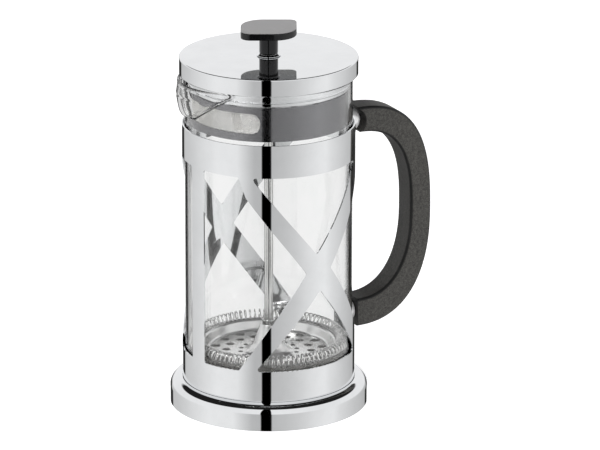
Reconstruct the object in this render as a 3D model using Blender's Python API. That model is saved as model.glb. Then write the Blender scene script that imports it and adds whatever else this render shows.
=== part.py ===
"""French press: glass beaker in a pierced metal sleeve, with a turning lid and a sliding plunger.

All lengths are in millimetres and all angles in degrees until `metres` turns them into the scene's
metres. The origin is the centre of the underside, +Z is up, the handle points along +X and the
spout along -X. Azimuths run from +X towards +Y.
"""

from math import asin, cos, degrees, pi, radians, sin

import bmesh
import bpy
from mathutils import Matrix, Vector

METRE_PER_MM = 0.001
GAP = 0.3  # clearance left between pieces that rest on or in each other

# Driving dimensions
BEAKER_RADIUS = 48.4
BEAKER_WALL = 2.0
BEAKER_BOTTOM = 14.8
BEAKER_RIM = 197.3
SLEEVE_RADIUS = 50.0
SLEEVE_WALL = 0.8
SLEEVE_SEAM = -170.5
SLEEVE_BOTTOM = 13.0
SLEEVE_TOP = 168.6
LOWER_BAND_TOP = 33.5
UPPER_BAND_BOTTOM = 149.5
BASE_RADIUS = 57.3
BASE_TOP = 15.3
BASE_FLOOR = 12.7
LID_RADIUS = 51.5
LID_BOTTOM = 198.1
LID_TOP = 208.0
COLLAR_RADIUS = 45.5
COLLAR_BOTTOM = 170.0
COLLAR_TOP = 190.0
ROD_RADIUS = 2.5
KNOB_TOP = 225.0
KNOB_SIDE = 32.0
KNOB_TURN = -26.0
HANDLE_REACH = 101.6
HANDLE_THICKNESS = 17.0
HANDLE_NOTCH_RADIUS = 8.3
HANDLE_NOTCH_DEPTH = 58.9  # how far from the axis the hollow for the upper boss reaches
UPPER_JOINT_HEIGHT = 163.4
LOWER_JOINT_HEIGHT = 47.0
FIXING_START = SLEEVE_RADIUS + 0.4
STUD_RADIUS = 2.0
FILTER_FLOOR = 30.0
COIL_RING_RADIUS = 42.7
COIL_HEIGHT = 37.6
COIL_RADIUS = 3.0
COIL_TURNS = 76
WIRE_RADIUS = 0.45

ROUND = 48  # sides of the large turned pieces
SMALL_ROUND = 24  # sides of rods, bushes and nuts


def metres(point):
    return Vector(point) * METRE_PER_MM


def clear_scene():
    for old in list(bpy.data.objects):
        bpy.data.objects.remove(old)


def make_material(name, colour, roughness, metallic=0.0, transmission=0.0):
    material = bpy.data.materials.new(name)
    material.use_nodes = True
    shader = material.node_tree.nodes["Principled BSDF"]
    shader.inputs["Base Color"].default_value = (*colour, 1.0)
    shader.inputs["Roughness"].default_value = roughness
    shader.inputs["Metallic"].default_value = metallic
    shader.inputs["Transmission Weight"].default_value = transmission
    return material


def add_object(name, mesh_builder, material, smooth_angle=35):
    mesh = bpy.data.meshes.new(name)
    mesh_builder.to_mesh(mesh)
    mesh_builder.free()
    mesh.materials.append(material)
    mesh.shade_smooth()
    mesh.set_sharp_from_angle(angle=radians(smooth_angle))
    created = bpy.data.objects.new(name, mesh)
    bpy.context.collection.objects.link(created)
    return created


def arc(centre, radius, start, end, steps):
    """Points of an arc, or of an elliptical one when radius is a pair."""
    across, along = radius if isinstance(radius, tuple) else (radius, radius)
    turns = (radians(start + (end - start) * step / steps) for step in range(steps + 1))
    return [(centre[0] + across * cos(turn), centre[1] + along * sin(turn)) for turn in turns]


def rounded_polygon(corners, radii, steps):
    """The corners joined by straight sides, each corner rounded to its own radius."""
    outline = []
    for index, corner in enumerate(corners):
        here = Vector(corner)
        to_last = (Vector(corners[index - 1]) - here).normalized()
        to_next = (Vector(corners[(index + 1) % len(corners)]) - here).normalized()
        half_angle = to_last.angle(to_next) / 2
        bisector = (to_last + to_next).normalized()
        reach = radii[index] / sin(half_angle)
        centre = here + bisector * reach
        first = here + to_last * reach * cos(half_angle) - centre
        sweep = pi - 2 * half_angle
        if to_last.cross(to_next) > 0:
            sweep = -sweep
        for step in range(steps + 1):
            outline.append(tuple(centre + Matrix.Rotation(sweep * step / steps, 2) @ first))
    return outline


def turned(name, outline, material, segments=ROUND, place=None, bulge=None, smooth_angle=35):
    """A solid of revolution about Z. The outline is a loop of (radius, height) points.

    Points on the axis become poles. `place` turns the finished mesh to another axis, and `bulge`
    moves a point outwards by what it returns for an azimuth, a radius and a height.
    """
    builder = bmesh.new()
    rings = []
    for radius, height in outline:
        if radius == 0:
            rings.append([builder.verts.new(metres((0, 0, height)))] * segments)
            continue
        ring = []
        for side in range(segments):
            turn = 2 * pi * side / segments
            reach = radius + (bulge(turn, radius, height) if bulge else 0)
            ring.append(builder.verts.new(metres((reach * cos(turn), reach * sin(turn), height))))
        rings.append(ring)
    for lower, upper in zip(rings, rings[1:] + rings[:1]):
        for side in range(segments):
            following = (side + 1) % segments
            loop = [lower[side], lower[following], upper[following], upper[side]]
            corners = list(dict.fromkeys(loop))
            if len(corners) > 2:
                builder.faces.new(corners)
    bmesh.ops.recalc_face_normals(builder, faces=builder.faces)
    if place:
        bmesh.ops.transform(builder, matrix=place, verts=builder.verts)
    return add_object(name, builder, material, smooth_angle)


def lofted(name, rings, material):
    """One closed skin through rings of equal length, with a flat cap at each end."""
    builder = bmesh.new()
    loops = [[builder.verts.new(metres(point)) for point in ring] for ring in rings]
    for lower, upper in zip(loops, loops[1:]):
        for side in range(len(lower)):
            following = (side + 1) % len(lower)
            builder.faces.new([lower[side], lower[following], upper[following], upper[side]])
    builder.faces.new(loops[0])
    builder.faces.new(loops[-1])
    bmesh.ops.recalc_face_normals(builder, faces=builder.faces)
    return add_object(name, builder, material)


def filled_sheet(outline, holes, cuts=()):
    """A flat sheet with holes, cut along lines of constant x so that it can be bent."""
    builder = bmesh.new()
    for loop in [outline, *holes]:
        corners = [builder.verts.new((x, y, 0)) for x, y in loop]
        for first, second in zip(corners, corners[1:] + corners[:1]):
            builder.edges.new((first, second))
    bmesh.ops.triangle_fill(builder, edges=builder.edges, use_beauty=True)
    for cut in cuts:
        everything = [*builder.verts, *builder.edges, *builder.faces]
        bmesh.ops.bisect_plane(builder, geom=everything, plane_co=(cut, 0, 0), plane_no=(1, 0, 0), dist=1e-4)
    return builder


def bent_shell(name, builder, bend, outwards, thickness, material):
    """Bends a filled sheet with `bend`, closes its seam and gives it a wall on its inner side."""
    for vert in builder.verts:
        vert.co = metres(bend(vert.co.x, vert.co.y))
    bmesh.ops.remove_doubles(builder, verts=builder.verts, dist=1e-6)
    bmesh.ops.recalc_face_normals(builder, faces=builder.faces)
    face = max(builder.faces, key=lambda candidate: candidate.calc_area())
    if face.normal.dot(outwards(face.calc_center_median())) < 0:
        bmesh.ops.reverse_faces(builder, faces=builder.faces)
    shell = add_object(name, builder, material)
    wall = shell.modifiers.new("Wall", "SOLIDIFY")
    wall.thickness = thickness * METRE_PER_MM
    wall.offset = -1
    return shell


def pierced_tube(name, radius, thickness, heights, windows, seam, span, columns, material):
    """A tube, or the part of one that spans `span` degrees from `seam`, with windows cut in it.

    A window is a list of (azimuth, height) corners and its corner radius.
    """
    arc_length = radians(1) * radius
    low, high = heights
    left, right = seam * arc_length, (seam + span) * arc_length
    holes = []
    for corners, corner_radius, steps in windows:
        flat = [(azimuth * arc_length, height) for azimuth, height in corners]
        holes.append(rounded_polygon(flat, [corner_radius] * len(flat), steps))
    cuts = [left + (right - left) * column / columns for column in range(1, columns)]
    sheet = filled_sheet([(left, low), (right, low), (right, high), (left, high)], holes, cuts)

    def bend(along, height):
        turn = along / radius
        return radius * cos(turn), radius * sin(turn), height

    return bent_shell(name, sheet, bend, lambda place: Vector((place.x, place.y, 0)), thickness, material)


def cut_away(piece, cutter):
    """Cuts a helper solid, hidden from the render, out of a piece."""
    cutter.hide_render = True
    cutter.display_type = "WIRE"
    cut = piece.modifiers.new(cutter.name, "BOOLEAN")
    cut.operation = "DIFFERENCE"
    cut.object = cutter


def along_x(distance, height):
    """The placing that turns a solid made about Z to lie along +X at a height."""
    shift = Matrix.Translation(metres((distance, 0, height)))
    return shift @ Matrix.Rotation(pi / 2, 4, "Y")


# Base and sleeve


def make_base_shell(chrome):
    wall = 1.0
    shoulder = (6.8, 5.6)
    centre = (BASE_RADIUS - shoulder[0], BASE_TOP - shoulder[1])
    inner = (shoulder[0] - wall, shoulder[1] - wall)
    pan_radius = SLEEVE_RADIUS + GAP
    outline = [(BASE_RADIUS, GAP), *arc(centre, shoulder, 0, 90, 5)]
    outline += [(pan_radius, BASE_TOP), (pan_radius, BASE_FLOOR), (0, BASE_FLOOR)]
    outline += [(0, BASE_FLOOR - wall), (pan_radius + wall, BASE_FLOOR - wall)]
    outline += [*reversed(arc(centre, inner, 0, 90, 3)), (BASE_RADIUS - wall, GAP)]
    turned("base_shell", outline, chrome)


def make_base_plate(plastic):
    radius = BASE_RADIUS - 1.0 - GAP
    chamfer = 0.8
    thickness = 2.6
    outline = [(0, 0), (radius - chamfer, 0), (radius, chamfer), (radius, thickness), (0, thickness)]
    turned("base_plate", outline, plastic)


def make_beaker_seat(silicone):
    inner, outer = 34.0, 44.0
    low, high = BASE_FLOOR + GAP, BEAKER_BOTTOM - GAP
    turned("beaker_seat", [(inner, low), (outer, low), (outer, high), (inner, high)], silicone)


def make_sleeve(chrome):
    """The pierced sleeve: two bands joined by an upright strip and by bars that cross in two X shapes."""
    low, high = LOWER_BAND_TOP, UPPER_BAND_BOTTOM
    tab, tab_top = 9.5, 60.0
    corner_radius = 1.2
    windows = [
        [(-164, high), (-136.3, high), (-131, 137.3), (-90, 91), (-136, low), (-163.5, low)],
        [(-127.8, high), (-39, high), (-82.5, 101.5)],
        [(-125, low), (-80, 80), (-38, low)],
        [(-71, 92), (-22, high), (41, high), (89.6, 93.5), (37.8, low)]
        + [(tab, low), (tab, tab_top), (-tab, tab_top), (-tab, low), (-21, low)],
        [(54.8, low), (97.5, 82.9), (141, low)],
        [(59, high), (98.9, 105.5), (138, high)],
        [(108, 94), (155, high), (183, high), (183, low), (156, low)],
    ]
    cut = [(corners, corner_radius, 2) for corners in windows]
    heights = (SLEEVE_BOTTOM, SLEEVE_TOP)
    pierced_tube("sleeve", SLEEVE_RADIUS, SLEEVE_WALL, heights, cut, SLEEVE_SEAM, 360, 56, chrome)


# Handle


def handle_arc(reach, top, bottom, end, steps):
    """The handle's D: a superellipse, fuller in its upper half than in its lower half."""
    upper_power, lower_power = 2.7, 2.35
    middle, half_height = (top + bottom) / 2, (top - bottom) / 2
    points = []
    for step in range(steps + 1):
        turn = pi / 2 - pi * step / steps
        power = upper_power if turn > 0 else lower_power
        out = max(cos(turn), 0) ** (2 / power)
        rise = abs(sin(turn)) ** (2 / power) * (1 if turn > 0 else -1)
        points.append((end + (reach - end) * out, middle + half_height * rise))
    return points


def make_handle(plastic):
    """A flat D-shaped loop, open towards the sleeve, hollowed at its upper end for the boss."""
    end = SLEEVE_RADIUS + 3.9
    outer = handle_arc(HANDLE_REACH, 171.8, 38.6, end, 26)
    inner = handle_arc(89.9, 156.6, 55.3, end, 22)
    notch_radius = HANDLE_NOTCH_RADIUS
    notch_centre = (HANDLE_NOTCH_DEPTH - notch_radius, UPPER_JOINT_HEIGHT)
    half_chord = (outer[0][1] - inner[0][1]) / 2
    opening = degrees(asin(half_chord / notch_radius))
    notch = arc(notch_centre, notch_radius, -opening, opening, 6)[1:-1]
    outline = outer + inner[::-1] + notch
    builder = bmesh.new()
    half = HANDLE_THICKNESS / 2
    corners = [builder.verts.new(metres((x, -half, z))) for x, z in outline]
    face = builder.faces.new(corners)
    pushed = bmesh.ops.extrude_face_region(builder, geom=[face])
    moved = [item for item in pushed["geom"] if isinstance(item, bmesh.types.BMVert)]
    bmesh.ops.translate(builder, verts=moved, vec=metres((0, HANDLE_THICKNESS, 0)))
    bmesh.ops.recalc_face_normals(builder, faces=builder.faces)
    flat = [face for face in builder.faces if abs(face.normal.y) > 0.9]
    rims = [edge for edge in builder.edges if any(face in flat for face in edge.link_faces)]
    bmesh.ops.bevel(builder, geom=rims, offset=metres((1.3, 0, 0)).x, segments=2, affect="EDGES", profile=0.5)
    handle = add_object("handle", builder, plastic, 45)
    bore, depth, start = STUD_RADIUS + GAP, 22, FIXING_START - 3.4
    for place, height in (("upper", UPPER_JOINT_HEIGHT), ("lower", LOWER_JOINT_HEIGHT)):
        socket = [(0, 0), (bore, 0), (bore, depth), (0, depth)]
        cut_away(handle, turned(f"{place}_stud_socket", socket, plastic, 12, along_x(start, height)))


def make_handle_fixings(chrome, steel):
    """The boss and the spacer that hold the handle off the sleeve, and the studs inside them."""
    bore, length = STUD_RADIUS + GAP, 16.5
    start = FIXING_START
    dome_radius = 7.9
    dome_centre = HANDLE_NOTCH_DEPTH - HANDLE_NOTCH_RADIUS - start
    flat_radius = 3.2
    boss_radius = 6.3
    dome_start = asin(flat_radius / dome_radius)
    dome_end = asin(boss_radius / dome_radius)
    dome = []
    for step in range(5):
        turn = dome_start + (dome_end - dome_start) * step / 4
        dome.append((dome_radius * sin(turn), dome_centre + dome_radius * cos(turn)))
    top = dome[0][1]
    outline = [(bore, 0), (bore, top), *dome, (boss_radius, 0)]
    turned("handle_upper_boss", outline, chrome, 32, along_x(start, UPPER_JOINT_HEIGHT))
    ring = [(bore, 0), (bore, 3.1), (5.6, 3.1), (5.6, 0)]
    turned("handle_lower_spacer", ring, chrome, SMALL_ROUND, along_x(start, LOWER_JOINT_HEIGHT))
    for place, height in (("upper", UPPER_JOINT_HEIGHT), ("lower", LOWER_JOINT_HEIGHT)):
        pin = [(0, 0), (STUD_RADIUS, 0), (STUD_RADIUS, length), (0, length)]
        turned(f"handle_{place}_stud", pin, steel, 12, along_x(start, height))


# Beaker


def spout_bulge(turn, radius, height):
    """How far the glass stands out into the V-shaped spout at this azimuth and height."""
    apex, top = 173.5, BEAKER_RIM
    half_angle_at_rim = 38.0
    if height <= apex:
        return 0
    rise = min((height - apex) / (top - apex), 1)
    half_angle = radians(half_angle_at_rim) * rise
    off = abs(turn - pi) / half_angle
    if off >= 1:
        return 0
    depth = 8.7 * sin(min(rise / 0.72, 1) * pi / 2) - 2.0 * max(rise - 0.72, 0) / 0.28
    return depth * (0.5 + 0.5 * cos(pi * off)) ** 0.8


def make_beaker(glass):
    outer, inner = BEAKER_RADIUS, BEAKER_RADIUS - BEAKER_WALL
    corner = 8.4
    floor = BEAKER_BOTTOM + 2.2
    spout_heights = [173.5, 177, 181, 185, 190, 194.5]
    outline = [(0, BEAKER_BOTTOM), *arc((outer - corner, BEAKER_BOTTOM + corner), corner, -90, 0, 4)]
    outline += [(outer, height) for height in spout_heights]
    outline += [(outer + 0.3, 196), (outer - 0.2, BEAKER_RIM), (inner + 0.5, BEAKER_RIM), (inner, 196)]
    outline += [(inner, height) for height in reversed(spout_heights)]
    outline += [*arc((inner - corner, floor + corner), corner, 0, -90, 4), (0, floor)]
    turned("beaker", outline, glass, 56, bulge=spout_bulge)


# Lid


def make_lid(chrome, steel, mesh_steel):
    wall = 0.9
    hole = 5.6
    chamfer = 0.6
    outline = [(LID_RADIUS, LID_BOTTOM), (LID_RADIUS, LID_TOP - chamfer), (LID_RADIUS - chamfer, LID_TOP)]
    outline += [(hole, LID_TOP), (hole, LID_TOP - wall), (LID_RADIUS - wall, LID_TOP - wall)]
    outline += [(LID_RADIUS - wall, LID_BOTTOM)]
    turned("lid_cover", outline, chrome)

    flange, step, lip = LID_RADIUS - wall - GAP, 45.9, 43.2
    under, low = BEAKER_RIM + 0.5, COLLAR_TOP + GAP
    bead = 0.2
    outline = [(flange, under), (flange, under + wall), (step - wall, under + wall)]
    outline += [(step - wall, low + wall), (lip, low + wall), (lip, low), (step, low)]
    outline += [(step, 192.4), (step + bead, 192.9)]
    outline += [(step, 193.4), (step, under)]
    turned("lid_plug", outline, chrome)

    slot_low, slot_high, half_span = 174.4, 186.4, 58.0
    slot = [(180 - half_span, slot_low), (180 + half_span, slot_low)]
    slot += [(180 + half_span, slot_high), (180 - half_span, slot_high)]
    slot_end = (slot_high - slot_low) / 2 - 0.05
    heights, cut = (COLLAR_BOTTOM, COLLAR_TOP), [(slot, slot_end, 3)]
    pierced_tube("strainer_collar", COLLAR_RADIUS, SLEEVE_WALL, heights, cut, 0, 360, ROUND, steel)

    overlap = 2.0
    start, span = 180 - half_span - overlap, 2 * (half_span + overlap)
    radius = COLLAR_RADIUS - SLEEVE_WALL - GAP
    heights = (slot_low - overlap, slot_high + overlap)
    pierced_tube("strainer_mesh", radius, 0.3, heights, [], start, span, 16, mesh_steel)


def make_guide(chrome, steel):
    """The bush that the rod runs in, and the nut that holds it in the lid."""
    bore, barrel, flange = ROD_RADIUS + 0.25, 5.2, 7.0
    low, seat, top = 198.0, LID_TOP + GAP, 209.3
    outline = [(bore, low), (barrel, low), (barrel, seat), (flange, seat), (flange, seat + 0.25)]
    outline += [(flange - 0.95, top), (bore, top)]
    turned("guide_bush", outline, chrome, SMALL_ROUND)
    nut_low, nut_high = 203.4, 206.8
    outline = [(barrel + 0.35, nut_low), (8.5, nut_low), (8.5, nut_high), (barrel + 0.35, nut_high)]
    turned("guide_nut", outline, steel, SMALL_ROUND)


# Plunger


def make_rod(steel):
    low, high, chamfer = 22.0, 219.0, 0.5
    outline = [(0, low), (ROD_RADIUS - chamfer, low), (ROD_RADIUS, low + chamfer)]
    outline += [(ROD_RADIUS, high), (0, high)]
    turned("plunger_rod", outline, steel, 20)


def make_knob(plastic, brass):
    """A square plate, two of its opposite corners generously rounded, on a round stem."""
    half = KNOB_SIDE / 2
    wide, tight, steps = 13.0, 3.5, 7
    square = [(-half, -half), (half, -half), (half, half), (-half, half)]
    plate = rounded_polygon(square, [tight, wide, tight, wide], steps)
    turn = radians(KNOB_TURN)
    plate = [(x * cos(turn) - y * sin(turn), x * sin(turn) + y * cos(turn)) for x, y in plate]
    stem, bore = 5.4, 3.8
    stem_low, bore_top, plate_low = 209.7, 219.6, 221.0

    def circle(radius, height):
        count = len(plate)
        first = turn - 3 * pi / 4 - pi * steps / count
        turns = [first + 2 * pi * index / count for index in range(count)]
        return [(radius * cos(angle), radius * sin(angle), height) for angle in turns]

    def inset(amount, height):
        share = 1 - amount / half
        return [(x * share, y * share, height) for x, y in plate]

    rings = [circle(bore, bore_top), circle(bore, stem_low), circle(stem, stem_low)]
    rings += [circle(stem, plate_low - 1.2), circle(stem + 1.0, plate_low), inset(0.5, plate_low)]
    rings += [inset(0, plate_low + 0.5), inset(0, KNOB_TOP - 0.6), inset(0.6, KNOB_TOP)]
    lofted("knob", rings, plastic)
    inner, outer = ROD_RADIUS + 0.25, bore - GAP
    outline = [(inner, 211), (outer, 211), (outer, 219), (inner, 219)]
    turned("knob_insert", outline, brass, SMALL_ROUND)


def make_spiral_plate(steel):
    """The dished plate above the filter: a hub cone, a flat floor with rings of holes and a rising edge."""
    wall = 0.7
    upper = [(2.8, 46.8), (4.4, 46.8), (6.4, 42.0), (9.2, 34.4), (13.2, FILTER_FLOOR)]
    upper += [(35.8, FILTER_FLOOR + 0.4), (37.6, 35.4), (38.9, 36.4)]
    lower = [(38.9, 35.7), (38.1, 35.1), (36.3, FILTER_FLOOR - 0.25), (12.8, FILTER_FLOOR - wall)]
    lower += [(8.5, 34.1), (5.6, 41.6), (3.9, 46.0), (2.8, 46.0)]
    plate = turned("spiral_plate", upper + lower, steel, 40)
    count, sides = 16, 8
    builder = bmesh.new()
    for ring_radius, hole_radius, offset in ((16.5, 1.5, 0.25), (24.75, 2.5, 0.75), (32.4, 3.0, 0.25)):
        for index in range(count):
            turn = 2 * pi * (index + offset) / count
            place = Matrix.Translation(metres((ring_radius * cos(turn), ring_radius * sin(turn), 32)))
            size = hole_radius * METRE_PER_MM
            bmesh.ops.create_cone(
                builder, cap_ends=True, segments=sides, radius1=size, radius2=size, depth=0.02, matrix=place
            )
    cut_away(plate, add_object("hole_cutters", builder, steel))


def make_coil(steel):
    """A closed ring of wire turns, which presses against the glass."""
    steps_per_turn = 6
    curve = bpy.data.curves.new("coil_spring", "CURVE")
    curve.dimensions = "3D"
    curve.bevel_depth = WIRE_RADIUS * METRE_PER_MM
    curve.bevel_resolution = 0
    spline = curve.splines.new("POLY")
    count = COIL_TURNS * steps_per_turn
    spline.points.add(count - 1)
    for index, point in enumerate(spline.points):
        around = 2 * pi * index / count
        wound = 2 * pi * index / steps_per_turn
        reach = COIL_RING_RADIUS + COIL_RADIUS * cos(wound)
        place = (reach * cos(around), reach * sin(around), COIL_HEIGHT + COIL_RADIUS * sin(wound))
        point.co = (*metres(place), 1)
    spline.use_cyclic_u = True
    curve.materials.append(steel)
    bpy.context.collection.objects.link(bpy.data.objects.new("coil_spring", curve))


def make_filter_mesh(mesh_steel):
    """The woven disc that strains the coffee, as a thin dish under the spiral plate."""
    bore, wall = ROD_RADIUS + GAP, 0.4
    upper = [(bore, 28.9), (37.6, 28.9), (40.2, 32.4), (45.6, 32.5)]
    lower = [(radius, height - wall) for radius, height in reversed(upper)]
    turned("filter_mesh", upper + lower, mesh_steel)


def make_cross_plate(steel):
    """The stiff plate under the woven disc: a rim and a hub joined by arms."""
    hub, rim_inner, rim_outer, arm_half_width = 10.0, 37.0, 43.5, 3.5
    high, thickness = 28.2, 1.0
    arms = 6

    def ring(radius, count):
        return [(radius * cos(2 * pi * k / count), radius * sin(2 * pi * k / count)) for k in range(count)]

    holes = [ring(ROD_RADIUS + GAP, 16)]
    for arm in range(arms):
        start, end = 2 * pi * arm / arms, 2 * pi * (arm + 1) / arms
        opening = []
        for radius, backwards, steps in ((rim_inner, False, 6), (hub, True, 2)):
            clear = asin(arm_half_width / radius)
            first, last = start + clear, end - clear
            turns = [first + (last - first) * step / steps for step in range(steps + 1)]
            turns = turns[::-1] if backwards else turns
            opening += [(radius * cos(turn), radius * sin(turn)) for turn in turns]
        holes.append(opening)
    sheet = filled_sheet(ring(rim_outer, ROUND), holes)
    bent_shell(
        "cross_plate", sheet, lambda x, y: (x, y, high), lambda place: Vector((0, 0, 1)), thickness, steel
    )


def make_hub_pieces(steel):
    """The collar above the filter stack and the nut below it."""
    bore = ROD_RADIUS + 0.25
    outline = [(bore, 47.1), (3.8, 47.1), (3.8, 48.9), (3.4, 49.3), (bore, 49.3)]
    turned("hub_collar", outline, steel, SMALL_ROUND)
    outline = [(bore, 22.5), (5.5, 22.5), (6.5, 23.5), (6.5, 26.9), (bore, 26.9)]
    turned("hub_nut", outline, steel, SMALL_ROUND)


def main():
    clear_scene()
    chrome = make_material("chrome", (0.82, 0.83, 0.84), 0.06, metallic=1.0)
    steel = make_material("steel", (0.66, 0.66, 0.65), 0.18, metallic=1.0)
    dark_steel = make_material("dark_steel", (0.24, 0.24, 0.25), 0.35, metallic=1.0)
    mesh_steel = make_material("woven_steel", (0.55, 0.55, 0.53), 0.4, metallic=1.0)
    brass = make_material("brass", (0.72, 0.55, 0.25), 0.3, metallic=1.0)
    glass = make_material("glass", (0.97, 0.98, 0.98), 0.02, transmission=1.0)
    grip = make_material("grip_plastic", (0.06, 0.058, 0.055), 0.55)
    gloss = make_material("knob_plastic", (0.03, 0.03, 0.032), 0.25)
    black = make_material("base_plastic", (0.03, 0.03, 0.03), 0.5)
    silicone = make_material("silicone", (0.75, 0.75, 0.74), 0.6)

    make_base_shell(chrome)
    make_base_plate(black)
    make_beaker_seat(silicone)
    make_sleeve(chrome)
    make_handle(grip)
    make_handle_fixings(chrome, steel)
    make_beaker(glass)
    make_lid(chrome, dark_steel, mesh_steel)
    make_guide(chrome, steel)
    make_rod(steel)
    make_knob(gloss, brass)
    make_spiral_plate(steel)
    make_coil(steel)
    make_filter_mesh(mesh_steel)
    make_cross_plate(steel)
    make_hub_pieces(steel)


main()
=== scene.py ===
"""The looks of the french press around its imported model.

Lengths are in millimetres until `metres` turns them into the scene's metres. +Z is up, the handle
points along +X and the spout along -X.
"""

from math import asin, cos, degrees, exp, hypot, pi, radians, sin, sqrt, tan

import bmesh
import bpy
from mathutils import Matrix, Vector


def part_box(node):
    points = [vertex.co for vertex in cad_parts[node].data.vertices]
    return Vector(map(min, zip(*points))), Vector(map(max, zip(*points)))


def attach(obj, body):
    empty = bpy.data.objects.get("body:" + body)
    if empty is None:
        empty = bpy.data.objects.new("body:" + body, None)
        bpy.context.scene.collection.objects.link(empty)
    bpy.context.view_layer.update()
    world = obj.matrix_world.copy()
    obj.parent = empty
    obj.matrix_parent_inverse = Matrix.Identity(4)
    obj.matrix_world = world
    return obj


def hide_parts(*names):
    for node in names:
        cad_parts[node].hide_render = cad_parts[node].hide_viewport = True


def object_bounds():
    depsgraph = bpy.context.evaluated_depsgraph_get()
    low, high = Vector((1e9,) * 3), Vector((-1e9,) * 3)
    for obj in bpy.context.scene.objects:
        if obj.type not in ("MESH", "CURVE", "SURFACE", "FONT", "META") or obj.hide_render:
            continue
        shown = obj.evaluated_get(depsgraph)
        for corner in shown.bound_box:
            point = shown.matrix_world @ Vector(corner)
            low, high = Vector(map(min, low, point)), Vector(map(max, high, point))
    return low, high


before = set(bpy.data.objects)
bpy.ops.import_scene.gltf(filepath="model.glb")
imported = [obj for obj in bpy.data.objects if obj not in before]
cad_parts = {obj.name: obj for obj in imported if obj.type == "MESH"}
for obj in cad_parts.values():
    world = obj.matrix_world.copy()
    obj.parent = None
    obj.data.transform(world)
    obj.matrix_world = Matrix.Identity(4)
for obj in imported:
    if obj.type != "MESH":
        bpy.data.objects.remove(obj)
cad_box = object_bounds()

MM = 0.001
ROUND = 192  # sides of the large turned pieces
SMALL_ROUND = 64  # sides of rods, bushes and nuts
LOFT_SHARP = 50.0  # degrees from which an edge of the grip or the knob is shaded sharp
VIEW_AZIMUTH = -116.0  # where the viewer stands, from +X towards +Y
PLASTIC_INDEX, GLOSSY_INDEX = 1.42, 1.62  # how strongly the plastics reflect
SHEET_WALL = 0.8  # of the sleeve and the strainer's collar
ROD_BORE = 2.75  # radius of what is threaded on the rod


def metres(point):
    return Vector(point) * MM


def extent(node):
    """Outer radius about the axis, lowest and highest point of a CAD node, in millimetres."""
    low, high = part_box(node)
    reach = max(hypot(vert.co.x, vert.co.y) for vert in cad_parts[node].data.vertices)
    return reach / MM, low.z / MM, high.z / MM


# Node trees


class Value:
    """A socket that takes part in sums: each operator adds one Math node behind it."""

    def __init__(self, tree, socket):
        self.tree, self.socket = tree, socket

    def worked(self, operation, *others):
        return self.tree.math(operation, self, *others)

    def output(self, name):
        """Another output of the same node."""
        return Value(self.tree, self.socket.node.outputs[name])

    def __add__(self, other):
        return self.worked("ADD", other)

    def __sub__(self, other):
        return self.worked("SUBTRACT", other)

    def __rsub__(self, other):
        return self.tree.math("SUBTRACT", other, self)

    def __mul__(self, other):
        return self.worked("MULTIPLY", other)

    def __truediv__(self, other):
        return self.worked("DIVIDE", other)

    def __pow__(self, other):
        return self.worked("POWER", other)

    __radd__ = __add__

    def rise(self, start, end):
        """0 below start, 1 above end, and an even slope between."""
        return self.tree.node(
            "ShaderNodeMapRange", {"clamp": True}, {"Value": self, "From Min": start, "From Max": end}
        )


class Tree:
    """A shader, world or geometry tree."""

    def __init__(self, nodes):
        self.nodes = nodes

    def node(self, kind, settings=None, sockets=None, out=0):
        """A new node: its settings first, then the values or links of its sockets."""
        made = self.nodes.nodes.new(kind)
        for name, setting in (settings or {}).items():
            if name == "stops":
                self.set_stops(made.color_ramp, setting)
            else:
                setattr(made, name, setting)
        for name, given in (sockets or {}).items():
            for value in given if isinstance(given, list) else [given]:
                if isinstance(value, Value):
                    self.nodes.links.new(value.socket, made.inputs[name])
                else:
                    made.inputs[name].default_value = value
        return Value(self, made.outputs[out])

    def set_stops(self, ramp, stops):
        while len(ramp.elements) < len(stops):
            ramp.elements.new(1.0)
        for element, (place, shade) in zip(ramp.elements, stops):
            element.position, element.color = place, (shade, shade, shade, 1)

    def math(self, operation, *terms):
        return self.node("ShaderNodeMath", {"operation": operation}, dict(enumerate(terms)))

    def mixed(self, share, first, second):
        """A colour between two, by a share."""
        node = self.nodes.nodes.new("ShaderNodeMix")
        node.data_type = "RGBA"
        for place, value in ((0, share), (6, first), (7, second)):
            if isinstance(value, Value):
                self.nodes.links.new(value.socket, node.inputs[place])
            else:
                node.inputs[place].default_value = value if place == 0 else (*value, 1)
        return Value(self, node.outputs[2])

    def vector(self, x, y, z):
        return self.node("ShaderNodeCombineXYZ", None, {"X": x, "Y": y, "Z": z})

    def grain(self, size, detail=2.0, stretch=(1, 1, 1), roughness=0.5):
        """Noise on the object's own coordinates, with features of about `size` millimetres."""
        place = self.node("ShaderNodeTexCoord", out="Object")
        place = self.node("ShaderNodeMapping", None, {"Vector": place, "Scale": stretch})
        sockets = {"Vector": place, "Scale": 1 / (size * MM), "Detail": detail, "Roughness": roughness}
        return self.node("ShaderNodeTexNoise", None, sockets)


class Finish(Tree):
    """A material: fixed values go on its shader's own sockets, and what varies is linked."""

    def __init__(self, name, **fixed):
        self.material = bpy.data.materials.new(name)
        self.material.use_nodes = True
        super().__init__(self.material.node_tree)
        self.shader = self.nodes.nodes["Principled BSDF"]
        for socket, value in fixed.items():
            self.shader.inputs[socket.replace("_", " ")].default_value = value

    def vary(self, socket, value):
        self.nodes.links.new(value.socket, self.shader.inputs[socket])

    def bump(self, height, depth, strength):
        """Relief `depth` millimetres deep."""
        sockets = {"Height": height, "Distance": depth * MM, "Strength": strength}
        self.vary("Normal", self.node("ShaderNodeBump", None, sockets))


# Finishes


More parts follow.
